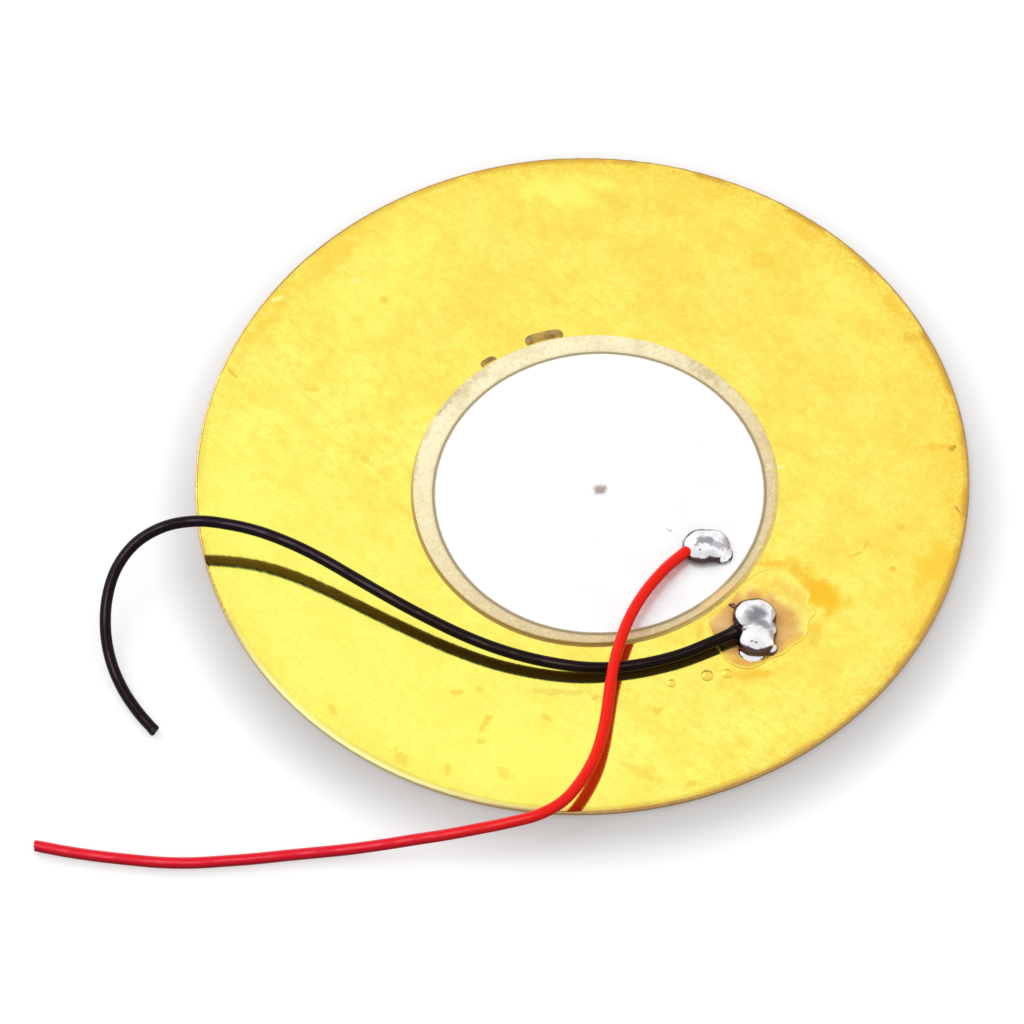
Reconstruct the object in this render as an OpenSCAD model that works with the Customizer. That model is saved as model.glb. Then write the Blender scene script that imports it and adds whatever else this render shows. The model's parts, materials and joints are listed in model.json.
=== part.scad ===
// Piezo disc: a ceramic element bonded to a round brass plate, with a soldered lead on each pole.
// Millimetres. The origin is the centre of the plate's underside, with +Z up through the ceramic.

/* [Brass plate] */
// Diameter of the plate
plate_d = 50; // [45:0.5:60]
// Thickness of the plate
plate_t = 0.3; // [0.2:0.02:0.38]
// Radius that the punch rolls over the plate's upper rim
rim_roll_r = 0.1; // [0.04:0.01:0.15]

/* [Ceramic] */
// Diameter of the ceramic disc
ceramic_d = 23.4; // [16:0.1:26.4]
// Thickness of the ceramic disc
ceramic_t = 0.25; // [0.2:0.01:0.35]
// Chamfer round the ceramic's upper edge
ceramic_edge = 0.03; // [0.01:0.01:0.05]
// Distance of the ceramic's centre from the plate's, along X
ceramic_x = 0.8; // [-1:0.1:1]
// Distance of the ceramic's centre from the plate's, along Y
ceramic_y = -1; // [-1:0.1:1]

/* [Electrodes] */
// Thickness of each fired silver electrode
silver_t = 0.02; // [0.01:0.005:0.03]
// Bare margin of the upper electrode, in from the ceramic's edge
upper_silver_margin = 1.1; // [0.9:0.1:2]
// Distance of the upper electrode's centre from the ceramic's, along X
upper_silver_x = 0.3; // [-0.5:0.1:0.5]
// Distance of the upper electrode's centre from the ceramic's, along Y
upper_silver_y = -0.4; // [-0.5:0.1:0.5]
// Bare margin of the lower electrode, in from the ceramic's edge
lower_silver_margin = 0.4; // [0.2:0.1:1]

/* [Adhesive] */
// Thickness of the bond line between the plate and the lower electrode
bond_t = 0.03; // [0.02:0.01:0.06]
// Radius of the concave bead that wets the ceramic's side wall
bead_r = 0.18; // [0.1:0.01:0.2]
// Width of the long drop squeezed out beside the ceramic
long_drop_w = 0.95; // [0.7:0.05:1.1]
// Width of the short drop
short_drop_w = 0.65; // [0.5:0.05:0.9]
// Height of both drops
drop_h = 0.16; // [0.1:0.01:0.2]

/* [Solder joints] */
// Inset of the red joint from the upper electrode's rim
red_joint_inset = 2.85; // [2.4:0.05:4]
// Direction of the red joint, seen from the electrode's centre
red_joint_angle = -33.2; // [-45:0.1:-25]
// Distance of the black joint from the ceramic's side wall
black_joint_gap = 2.5; // [1.9:0.1:4]
// Direction of the black joint, seen from the ceramic's centre
black_joint_angle = -45.4; // [-50:0.1:-35]
// Base diameter of the dome that holds the red lead
red_dome_d = 2.75; // [2.2:0.05:3.2]
// Height of that dome
red_dome_h = 0.95; // [0.8:0.05:1.2]
// Base diameter of each dome that holds the black lead
black_dome_d = 2.9; // [2.4:0.05:3.2]
// Height of those domes
black_dome_h = 1.2; // [1:0.05:1.4]
// Width of the spreading foot round each dome
foot_w = 0.2; // [0.1:0.02:0.3]
// Height of that foot
foot_h = 0.12; // [0.06:0.01:0.15]
// Gap between the solder and the lead that it holds
seat_gap = 0.01; // [0.01:0.005:0.03]

/* [Leads] */
// Diameter over the lead's insulation
wire_d = 0.74; // [0.6:0.02:0.9]
// Diameter of the tinned strands that are twisted together
core_d = 0.3; // [0.2:0.02:0.4]
// Length of bare strands inside a joint
core_length = 1.4; // [1.1:0.1:1.7]

/* [Hidden] */

// Heights of the faces in the stack
lower_silver_z = plate_t + bond_t;
ceramic_z = lower_silver_z + silver_t;
upper_silver_z = ceramic_z + ceramic_t;
stack_top_z = upper_silver_z + silver_t;

plate_r = plate_d / 2;
ceramic_r = ceramic_d / 2;
lower_silver_r = ceramic_r - lower_silver_margin;
upper_silver_r = ceramic_r - upper_silver_margin;

ceramic_at = [ceramic_x, ceramic_y, 0];
upper_silver_at = ceramic_at + [upper_silver_x, upper_silver_y, 0];

// Squeezed-out drops: [angle at a drop's start, angle spanned, width], seen from the ceramic's centre
drops = [[100.5, 7.8, long_drop_w], [122.4, 2.6, short_drop_w]];
// Step down from a drop's back to the cap at each of its ends
drop_end_step = 0.02;

// Where the first dome of each joint stands: the red one on the silver, the black one on the brass
red_joint_at = upper_silver_at + [0, 0, stack_top_z]
    + (upper_silver_r - red_joint_inset) * [cos(red_joint_angle), sin(red_joint_angle), 0];
black_joint_at = ceramic_at + [0, 0, plate_t]
    + (ceramic_r + black_joint_gap) * [cos(black_joint_angle), sin(black_joint_angle), 0];

// Domes of solder that run together in each joint: [x and y from the joint's place, base diameter, height]
red_domes = [
    [0, 0, red_dome_d, red_dome_h],
    [0.6, -0.3, red_dome_d - 0.25, red_dome_h - 0.15],
    [1.45, -0.85, 1.1, 0.35]
];
black_domes = [
    [0, 0, black_dome_d, black_dome_h],
    [0, -1.65, black_dome_d - 0.45, black_dome_h - 0.15],
    [0.85, -2, 1.2, 0.4]
];

// Each lead's insulation starts in its joint, and its first three points lie in line with the bare core.
red_start = red_joint_at + [-0.9, -0.65, 0.48];
red_step = [-0.75, -0.7, 0.1];
black_start = black_joint_at + [-0.95, -1.1, 0.6];
black_step = [-0.9, -0.42, -0.02];
// Height at which a lead's centre lies where it rests on the surface under the plate
rest_z = wire_d / 2;
// Length of the cut that clears the insulation, past the joint's outside
socket_length = 1.4;

// Points along each lead, from its joint to its cut end
red_route = [
    red_start, red_start + red_step, red_start + 2 * red_step,
    [3.8, -9.5, 1.45], [2.8, -11.4, 1.65], [2.1, -13.4, 1.75], [1.6, -15.4, 1.75], [1.3, -17.4, 1.65],
    [1.0, -19.4, 1.55], [0.5, -21.4, 1.55], [-0.4, -23.2, 1.6], [-1.6, -24.9, 1.6], [-3.2, -25.8, 1.55],
    [-5.1, -26.2, 1.45], [-7.1, -26.5, 1.3], [-9.1, -26.8, 1.15], [-11.1, -26.95, 0.95],
    [-13.1, -27.15, 0.75], [-15.1, -27.3, 0.55], [-17.1, -27.4, 0.45], [-19.1, -27.5, rest_z],
    [-21.1, -27.7, rest_z], [-23.1, -27.8, rest_z], [-25.1, -27.9, rest_z], [-27.1, -27.8, rest_z],
    [-29.1, -27.5, rest_z], [-31.1, -27.2, rest_z], [-33.1, -26.8, rest_z], [-35.0, -26.3, rest_z]
];
black_route = [
    black_start, black_start + black_step, black_start + 2 * black_step,
    [6.0, -13.95, 0.8], [4.0, -14.45, 0.8], [2.0, -14.75, 0.8], [0.0, -14.8, 0.95], [-2.0, -14.5, 1.1],
    [-4.0, -14.0, 1.2], [-6.0, -13.3, 1.35], [-7.9, -12.4, 1.45], [-9.7, -11.4, 1.6], [-11.5, -10.3, 1.7],
    [-13.2, -9.2, 1.85], [-15.0, -8.0, 2.0], [-16.8, -6.8, 2.2], [-18.7, -5.7, 2.3], [-20.7, -4.8, 2.45],
    [-22.7, -4.3, 2.6], [-24.7, -4.0, 2.75], [-26.8, -4.3, 2.75], [-28.7, -5.3, 2.5], [-30.0, -7.0, 2.1],
    [-30.6, -9.0, 1.6], [-30.7, -11.2, 1.1], [-30.35, -13.2, 0.65], [-29.6, -15.1, 0.4],
    [-28.6, -16.8, rest_z], [-27.5, -18.2, rest_z]
];
lead_sides = 8;
bore_sides = 32;
facets = 96;

function unit(v) = v / norm(v);

// A route's corners are eased, and its two end points stay where they are.
function eased(route) = [for (i = [0 : len(route) - 1])
    i == 0 || i == len(route) - 1 ? route[i] : (route[i - 1] + 4 * route[i] + route[i + 1]) / 6];

function heading(line, i) = unit(line[min(i + 1, len(line) - 1)] - line[max(i - 1, 0)]);

function ring(centre, along, r) =
    let (side = unit(cross(along, [0, 0, 1])), up = cross(side, along))
    [for (k = [0 : lead_sides - 1])
        centre + r * (cos(360 * k / lead_sides) * side + sin(360 * k / lead_sides) * up)];

// ---- Brass plate and ceramic stack ----

module brass_plate() {
    color("goldenrod")
        rotate_extrude($fn = facets)
            difference() {
                square([plate_r, plate_t]);
                translate([plate_r - rim_roll_r, plate_t - rim_roll_r])
                    difference() {
                        square(2 * rim_roll_r);
                        circle(rim_roll_r);
                    }
            }
}

module on_ceramic_axis(z) {
    translate(ceramic_at + [0, 0, z]) children();
}

// The bond line, the gap round the lower electrode and the bead are one pour of adhesive.
module adhesive_film() {
    rotate_extrude($fn = facets)
        union() {
            square([lower_silver_r, bond_t]);
            translate([lower_silver_r, 0])
                square([ceramic_r - lower_silver_r, bond_t + silver_t]);
            translate([ceramic_r, 0])
                difference() {
                    square(bead_r);
                    translate([bead_r, bead_r]) circle(bead_r);
                }
        }
}

// Half of the section through a round cap, with its axis along Y.
module cap_section(d, h) {
    r = (d * d / 4 + h * h) / (2 * h);
    intersection() {
        translate([0, h - r]) circle(r);
        square([d, 2 * h]);
    }
}

// A low ridge that hugs the ceramic's side wall, with a rounded back and a round cap at each end.
module squeezed_drop(start, span, wide) {
    middle_r = ceramic_r + wide / 2;
    rotate([0, 0, start])
        rotate_extrude(angle = span, $fn = facets)
            translate([middle_r, 0]) {
                cap_section(wide, drop_h);
                mirror([1, 0]) cap_section(wide, drop_h);
            }
    for (angle = [start, start + span])
        rotate([0, 0, angle])
            translate([middle_r, 0, 0])
                rotate_extrude($fn = facets)
                    cap_section(wide - 2 * drop_end_step, drop_h - drop_end_step);
}

module adhesive() {
    color("olive")
        on_ceramic_axis(plate_t) {
            adhesive_film();
            for (drop = drops) squeezed_drop(drop[0], drop[1], drop[2]);
        }
}

module lower_electrode() {
    color("silver")
        on_ceramic_axis(lower_silver_z)
            cylinder(h = silver_t, r = lower_silver_r, $fn = facets);
}

module ceramic_disc() {
    color("wheat")
        on_ceramic_axis(ceramic_z)
            rotate_extrude($fn = facets)
                polygon([
                    [0, 0],
                    [ceramic_r, 0],
                    [ceramic_r, ceramic_t - ceramic_edge],
                    [ceramic_r - ceramic_edge, ceramic_t],
                    [0, ceramic_t]
                ]);
}

module upper_electrode() {
    color("whitesmoke")
        translate(upper_silver_at + [0, 0, upper_silver_z])
            cylinder(h = silver_t, r = upper_silver_r, $fn = facets);
}

// ---- Solder joints ----

// A round cap that stands on a low spreading foot, where the solder wetted the metal.
module solder_dome(d, h) {
    rotate_extrude($fn = facets)
        union() {
            cap_section(d - foot_w, h);
            polygon([[0, 0], [d / 2, 0], [d / 2 - foot_w, foot_h], [0, foot_h]]);
        }
}

// Turns +Z to point along the vector v.
module point_along(v) {
    rotate([0, acos(v[2]), atan2(v[1], v[0])]) children();
}

// The space that a lead takes inside its joint: a bore for the bare core, and a socket for the insulation.
module lead_space(route) {
    inwards = -heading(eased(route), 0);
    translate(route[0])
        point_along(inwards) {
            cylinder(h = core_length + seat_gap, d = core_d + 2 * seat_gap, $fn = bore_sides);
            mirror([0, 0, 1])
                cylinder(h = socket_length, d = wire_d + 2 * seat_gap, $fn = bore_sides);
        }
}

module solder_joint(place, domes, route) {
    color("gainsboro")
        difference() {
            for (dome = domes)
                translate(place + [dome[0], dome[1], 0]) solder_dome(dome[2], dome[3]);
            lead_space(route);
        }
}

module red_solder_joint() {
    solder_joint(red_joint_at, red_domes, red_route);
}

module black_solder_joint() {
    solder_joint(black_joint_at, black_domes, black_route);
}

// ---- Leads ----

module lead_core(route) {
    color("peru")
        translate(route[0])
            point_along(-heading(eased(route), 0))
                cylinder(h = core_length, d = core_d, $fn = bore_sides);
}

module red_lead_core() {
    lead_core(red_route);
}

module black_lead_core() {
    lead_core(black_route);
}

module lead(route) {
    line = eased(route);
    last = len(line) - 1;
    points = [for (i = [0 : last]) each ring(line[i], heading(line, i), wire_d / 2)];
    wall = [for (i = [0 : last - 1], k = [0 : lead_sides - 1])
        let (a = i * lead_sides + k, b = i * lead_sides + (k + 1) % lead_sides)
        each [[a, b, b + lead_sides], [a, b + lead_sides, a + lead_sides]]];
    ends = [
        [for (k = [lead_sides - 1 : -1 : 0]) k],
        [for (k = [0 : lead_sides - 1]) last * lead_sides + k]
    ];
    polyhedron(points = points, faces = concat(wall, ends));
}

module red_lead() {
    color("red") lead(red_route);
}

module black_lead() {
    color("black") lead(black_route);
}

brass_plate();
adhesive();
lower_electrode();
ceramic_disc();
upper_electrode();
red_solder_joint();
black_solder_joint();
red_lead_core();
black_lead_core();
red_lead();
black_lead();
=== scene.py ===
"""Piezo disc with two soldered leads: finishes, solder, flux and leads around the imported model.

Everything is in metres, and a name with MM in it is in millimetres. So are the numbers in the
finishes. The plate lies on the floor with its worked face up, and its centre is the origin.
"""
import json
import math
from bisect import bisect_right

import bmesh
import bpy
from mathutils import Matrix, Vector

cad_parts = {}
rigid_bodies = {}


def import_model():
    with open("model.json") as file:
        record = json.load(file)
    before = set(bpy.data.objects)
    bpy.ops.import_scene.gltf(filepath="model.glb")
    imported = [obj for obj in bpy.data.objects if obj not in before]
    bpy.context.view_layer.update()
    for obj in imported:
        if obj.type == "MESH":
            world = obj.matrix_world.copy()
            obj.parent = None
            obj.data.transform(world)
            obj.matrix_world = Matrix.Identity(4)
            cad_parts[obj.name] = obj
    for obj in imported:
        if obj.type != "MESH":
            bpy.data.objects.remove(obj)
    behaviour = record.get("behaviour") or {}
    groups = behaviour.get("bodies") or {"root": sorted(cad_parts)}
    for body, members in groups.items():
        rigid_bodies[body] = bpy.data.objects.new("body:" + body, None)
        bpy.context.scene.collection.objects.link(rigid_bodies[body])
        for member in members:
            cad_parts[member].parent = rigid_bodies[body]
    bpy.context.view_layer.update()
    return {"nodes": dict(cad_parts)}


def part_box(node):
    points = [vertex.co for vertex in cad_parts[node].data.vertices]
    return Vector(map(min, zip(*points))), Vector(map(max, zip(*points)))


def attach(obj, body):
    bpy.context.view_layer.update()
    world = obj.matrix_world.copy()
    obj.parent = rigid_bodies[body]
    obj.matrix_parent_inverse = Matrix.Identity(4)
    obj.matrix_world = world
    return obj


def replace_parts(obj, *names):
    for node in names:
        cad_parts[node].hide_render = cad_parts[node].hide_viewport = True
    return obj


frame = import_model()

MM = 0.001
UP = Vector((0, 0, 1))
WHITE = (1, 1, 1, 1)
NODES = frame["nodes"]

plate_low, plate_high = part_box("brass_plate")
PLATE_R_MM = (plate_high.x - plate_low.x) / 2 / MM
# The flux stands a hair clear of the brass, and no two of their faces lie in one plane
FLUX_GAP = 0.02 * MM
FLUX_BASE = plate_high.z + FLUX_GAP


# ---------------------------------------------------------------- camera

CAMERA_PLACE = (0, -0.26646, 0.423383)
CAMERA_TURN_DEGREES = (31.935, 1.284, -1.069)
LENS_MM = 272.2
SENSOR_WIDTH_MM = 36
NEAREST_SEEN = 0.02
FURTHEST_SEEN = 20


def set_camera():
    """A long lens that looks down on the disc from its front edge, with a slight roll."""
    turn = [math.radians(angle) for angle in CAMERA_TURN_DEGREES]
    bpy.ops.object.camera_add(location=CAMERA_PLACE, rotation=turn)
    camera = bpy.context.object
    camera.name = "camera"
    camera.data.lens = LENS_MM
    camera.data.sensor_width = SENSOR_WIDTH_MM
    camera.data.clip_start = NEAREST_SEEN
    camera.data.clip_end = FURTHEST_SEEN
    bpy.context.scene.camera = camera


# ---------------------------------------------------------------- leads

LEAD_R_MM = 0.37
LEAD_R = LEAD_R_MM * MM
LEAD_SIDES = 24
RING_STEP = 0.3 * MM
# Height of a lead's middle where it lies on the floor
REST_Z_MM = LEAD_R_MM

# Both ends of the insulation are bored: for the core in its joint and for the strands in its cut
BORE_R = 0.16 * MM
CORE_DEPTH = 1.45 * MM
STRAND_DEPTH = 2.0 * MM

# The cutters left the end leaning and nicked
RAGGED_END = 0.05 * MM
CUT_LEAN_MM = 0.05
CUT_NICKS_MM = 0.03

STRAND_R = 0.05 * MM
STRAND_SIDES = 12
STRAND_BEVEL = STRAND_R * 0.3
STRAND_LENGTH = STRAND_DEPTH * 0.45
STRAND_SPACING = 0.105 * MM
# How far a strand leans out, for each millimetre that it lies off the lead's middle
STRAND_SPLAY = 0.9

# A lead's route: where it leaves its joint, its first step out of it, and points along the rest
RED_START_MM = (6.68, -6.29, 1.1)
RED_STEP_MM = (-0.75, -0.7, 0.1)
RED_ROUTE_MM = [
    (3.8, -9.5, 1.45), (2.8, -11.4, 1.65), (2.1, -13.4, 1.75), (1.6, -15.4, 1.75),
    (1.3, -17.4, 1.65), (1.0, -19.4, 1.55), (0.5, -21.4, 1.55), (-0.4, -23.2, 1.6),
    (-1.6, -24.9, 1.6), (-3.2, -25.8, 1.55), (-5.1, -26.2, 1.45), (-7.1, -26.5, 1.3),
    (-9.1, -26.8, 1.15), (-11.1, -26.95, 0.95), (-13.1, -27.15, 0.75), (-15.1, -27.3, 0.55),
    (-17.1, -27.4, 0.45), (-19.1, -27.5, REST_Z_MM), (-21.1, -27.7, REST_Z_MM),
    (-23.1, -27.8, REST_Z_MM), (-25.1, -27.9, REST_Z_MM), (-27.1, -27.8, REST_Z_MM),
    (-29.1, -27.5, REST_Z_MM), (-31.1, -27.2, REST_Z_MM), (-33.1, -26.8, REST_Z_MM),
    (-35.0, -26.3, REST_Z_MM),
]
RED_LENGTH = 0.055

BLACK_START_MM = (9.82, -12.21, 0.9)
BLACK_STEP_MM = (-0.9, -0.42, -0.02)
BLACK_ROUTE_MM = [
    (6.0, -13.95, 0.8), (4.0, -14.45, 0.8), (2.0, -14.75, 0.8), (0.0, -14.8, 0.95),
    (-2.0, -14.5, 1.1), (-4.0, -14.0, 1.2), (-6.0, -13.3, 1.35), (-7.9, -12.4, 1.45),
    (-9.7, -11.4, 1.6), (-11.5, -10.3, 1.7), (-13.2, -9.2, 1.85), (-15.0, -8.0, 2.0),
    (-16.8, -6.8, 2.2), (-18.7, -5.7, 2.3), (-20.7, -4.8, 2.45), (-22.7, -4.3, 2.6),
    (-24.7, -4.0, 2.75), (-26.8, -4.3, 2.75), (-28.7, -5.3, 2.5), (-30.0, -7.0, 2.1),
    (-30.6, -9.0, 1.6), (-30.7, -11.2, 1.1), (-30.35, -13.2, 0.65), (-29.6, -15.1, 0.4),
    (-28.6, -16.8, REST_Z_MM), (-27.5, -18.2, REST_Z_MM),
]
BLACK_LENGTH = 0.056

# The insulation's radius at distances from its joint, and at distances back from its cut end
RED_LIP_MM = [(0, 0.3), (0.06, 0.36), (0.2, 0.39), (0.5, 0.38), (0.9, LEAD_R_MM)]
RED_CUT_MM = [(0.6, LEAD_R_MM), (0.15, 0.36), (0.03, 0.355), (0, 0.32)]
BLACK_LIP_MM = [(0, 0.3), (0.08, 0.42), (0.25, 0.48), (0.45, 0.46), (0.7, 0.39), (1.1, LEAD_R_MM)]
BLACK_CUT_MM = [(0.9, LEAD_R_MM), (0.45, 0.355), (0.12, 0.375), (0.03, 0.375), (0, 0.35)]
# How far each strand stands out of its cut end
RED_STAND_OUT_MM = [0.02, -0.04, 0.04, -0.02, 0.0, 0.05, -0.03]
BLACK_STAND_OUT_MM = [0.0, 0.03, -0.05, 0.02, -0.04, 0.0, 0.04]


def full_route(start_mm, step_mm, route_mm):
    """The lead's route in metres, with two steps straight out of its joint, and its bends eased."""
    start, step = Vector(start_mm), Vector(step_mm)
    route = [start, start + step, start + 2 * step, *map(Vector, route_mm)]
    eased = [(a + 4 * b + c) / 6 for a, b, c in zip(route, route[1:], route[2:])]
    return [point * MM for point in (route[0], *eased, route[-1])]


def smooth_line(route, steps=10):
    """One smooth curve through every point of the route."""
    padded = [2 * route[0] - route[1], *route, 2 * route[-1] - route[-2]]
    line = []
    for a, b, c, d in zip(padded, padded[1:], padded[2:], padded[3:]):
        for k in range(steps):
            t = k / steps
            bend = (2 * a - 5 * b + 4 * c - d) * t * t + (3 * b - a - 3 * c + d) * t**3
            line.append(b + ((c - a) * t + bend) / 2)
    return [*line, route[-1]]


def carried_frames(line):
    """The distance, place and two side directions at every point, carried along without twist."""
    frames, distance, side = [], 0.0, UP
    for i, place in enumerate(line):
        before, after = line[max(i - 1, 0)], line[min(i + 1, len(line) - 1)]
        ahead = (after - before).normalized()
        side = (side - ahead * side.dot(ahead)).normalized()
        if i:
            distance += (place - line[i - 1]).length
        frames.append((distance, place, side, ahead.cross(side)))
    return frames


def frame_at(frames, distance):
    """The place and side directions at a distance along the line."""
    i = min(max(bisect_right([f[0] for f in frames], distance), 1), len(frames) - 1)
    low, high = frames[i - 1], frames[i]
    t = (distance - low[0]) / (high[0] - low[0])
    return [low[k].lerp(high[k], t) for k in (1, 2, 3)]


def ragged_cut(turn):
    """How far the cutters' ragged edge stands out at an angle round the lead."""
    return (CUT_LEAN_MM * math.sin(turn) + CUT_NICKS_MM * math.sin(3 * turn + 1)) * MM


def lead_tube(name, line, lip_mm, cut_mm):
    """A lead's insulation: a tube bored at both ends, with a lip at its joint and a worked cut."""
    frames = carried_frames(line)
    length = frames[-1][0]
    lip = [(distance * MM, radius * MM) for distance, radius in lip_mm]
    cut = [(length - back * MM, radius * MM) for back, radius in cut_mm]
    start, end = lip[-1][0], cut[0][0]
    rings = math.ceil((end - start) / RING_STEP)
    middle = [(start + (end - start) * k / rings, LEAD_R) for k in range(1, rings)]
    profile = [
        (CORE_DEPTH, BORE_R), (0, BORE_R), *lip, *middle, *cut,
        (length, BORE_R), (length - STRAND_DEPTH, BORE_R),
    ]
    mesh = bmesh.new()
    around = mesh.loops.layers.uv.new("UVMap")
    shell = []
    for distance, radius in profile:
        place, side, other = frame_at(frames, distance)
        ahead = side.cross(other)
        ragged = distance > length - RAGGED_END
        ring = []
        for s in range(LEAD_SIDES):
            turn = 2 * math.pi * s / LEAD_SIDES
            out = side * math.cos(turn) + other * math.sin(turn)
            slip = ahead * ragged_cut(turn) if ragged else Vector()
            ring.append(mesh.verts.new(place + out * radius + slip))
        shell.append(ring)
    for k, (ring, following) in enumerate(zip(shell, shell[1:])):
        low, high = profile[k][0] / length, profile[k + 1][0] / length
        for s in range(LEAD_SIDES):
            after = (s + 1) % LEAD_SIDES
            face = mesh.faces.new((ring[s], ring[after], following[after], following[s]))
            face.smooth = True
            corners = ((s, low), (s + 1, low), (s + 1, high), (s, high))
            for loop, (u, v) in zip(face.loops, corners):
                loop[around].uv = (u / LEAD_SIDES, v)
    mesh.faces.new(shell[0])
    mesh.faces.new(shell[-1])
    bmesh.ops.recalc_face_normals(mesh, faces=mesh.faces)
    data = bpy.data.meshes.new(name)
    mesh.to_mesh(data)
    mesh.free()
    lead = bpy.data.objects.new(name, data)
    bpy.context.collection.objects.link(lead)
    shade_soft(lead)
    return lead


def strand_bundle(name, line, stand_out_mm):
    """The tinned strands in a cut end: one in the middle and the rest splayed round it."""
    frames = carried_frames(line)
    length = frames[-1][0]
    end, side, other = frame_at(frames, length)
    ahead = side.cross(other)
    strands = []
    for k, out in enumerate(stand_out_mm):
        turn = 2 * math.pi * k / (len(stand_out_mm) - 1)
        lay = (side * math.cos(turn) + other * math.sin(turn)) * (STRAND_SPACING if k else 0)
        direction = (ahead + lay / MM * STRAND_SPLAY).normalized()
        long = STRAND_LENGTH + out * MM
        middle = end + lay + direction * (out * MM - long / 2)
        bpy.ops.mesh.primitive_cylinder_add(
            vertices=STRAND_SIDES, radius=STRAND_R, depth=long, location=middle,
            rotation=direction.to_track_quat("Z", "Y").to_euler(),
        )
        strands.append(bpy.context.object)
        bpy.ops.object.mode_set(mode="EDIT")
        bpy.ops.mesh.select_all(action="SELECT")
        bpy.ops.mesh.bevel(offset=STRAND_BEVEL, segments=2, affect="EDGES")
        bpy.ops.object.mode_set(mode="OBJECT")
    bundle = joined(name, strands)
    shade_soft(bundle)
    return bundle


# ---------------------------------------------------------------- making pieces

# Edges sharper than this stay sharp
SOFT_UP_TO = math.radians(50)
FLUX_SOFT_UP_TO = math.radians(40)
# Points nearer than this are one point
SAME_POINT = 1e-7
SAME_EDGE_POINT = 1e-6


def clear_selection():
    """Nothing is selected, so that the next operator acts on its own piece only."""
    for piece in bpy.context.view_layer.objects:
        piece.select_set(False)


def pick(piece):
    """Selects a piece and makes it the active one."""
    piece.select_set(True)
    bpy.context.view_layer.objects.active = piece


def shade_soft(piece, up_to=SOFT_UP_TO):
    """Shades a piece smooth, but for its sharp edges."""
    clear_selection()
    pick(piece)
    bpy.ops.object.shade_smooth_by_angle(angle=up_to)


def close_up(same_point):
    """Merges the doubled points of the piece in edit mode, and turns its faces outwards."""
    bpy.ops.mesh.select_all(action="SELECT")
    bpy.ops.mesh.remove_doubles(threshold=same_point)
    bpy.ops.mesh.normals_make_consistent(inside=False)
    bpy.ops.object.mode_set(mode="OBJECT")


def joined(name, pieces):
    """Several pieces as one, with its place and size in its mesh."""
    clear_selection()
    for piece in pieces:
        pick(piece)
    if len(pieces) > 1:
        bpy.ops.object.join()
    piece = bpy.context.view_layer.objects.active
    bpy.ops.object.transform_apply(location=True, rotation=True, scale=True)
    piece.name = name
    piece.data.name = name
    return piece


def ball(place_mm, radii_mm, segments=40):
    """A squashed ball, as a start for a drop of solder or flux."""
    clear_selection()
    bpy.ops.mesh.primitive_uv_sphere_add(
        segments=segments, ring_count=segments // 2, radius=MM, location=Vector(place_mm) * MM
    )
    bpy.ops.transform.resize(value=radii_mm)
    return bpy.context.object


def modify(piece, kind, **settings):
    """Adds a modifier with these settings and applies it."""
    clear_selection()
    pick(piece)
    modifier = piece.modifiers.new(kind.lower(), kind)
    for key, value in settings.items():
        setattr(modifier, key, value)
    bpy.ops.object.modifier_apply(modifier=modifier.name)


def flat_base(piece, height):
    """Cuts a piece off level at a height and closes the cut."""
    clear_selection()
    pick(piece)
    bpy.ops.object.mode_set(mode="EDIT")
    bpy.ops.mesh.select_all(action="SELECT")
    bpy.ops.mesh.bisect(
        plane_co=(0, 0, height), plane_no=UP, use_fill=True, clear_inner=True,
        threshold=SAME_POINT,
    )
    close_up(SAME_POINT)
    shade_soft(piece)


def dented(piece, size_mm, depth_mm):
    """Soft dents and swells, as left on metal or resin that has set unevenly."""
    cloud = bpy.data.textures.new(piece.name + "_dents", "CLOUDS")
    cloud.noise_scale = size_mm * MM
    cloud.noise_depth = 1
    modify(piece, "DISPLACE", texture=cloud, texture_coords="LOCAL", strength=depth_mm * MM)


# ---------------------------------------------------------------- nodes

def srgb(red, green, blue):
    """A colour from its 0 to 255 values."""
    linear = [
        v / 12.92 if v <= 0.04045 else ((v + 0.055) / 1.055) ** 2.4
        for v in (red / 255, green / 255, blue / 255)
    ]
    return (*linear, 1)


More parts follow.
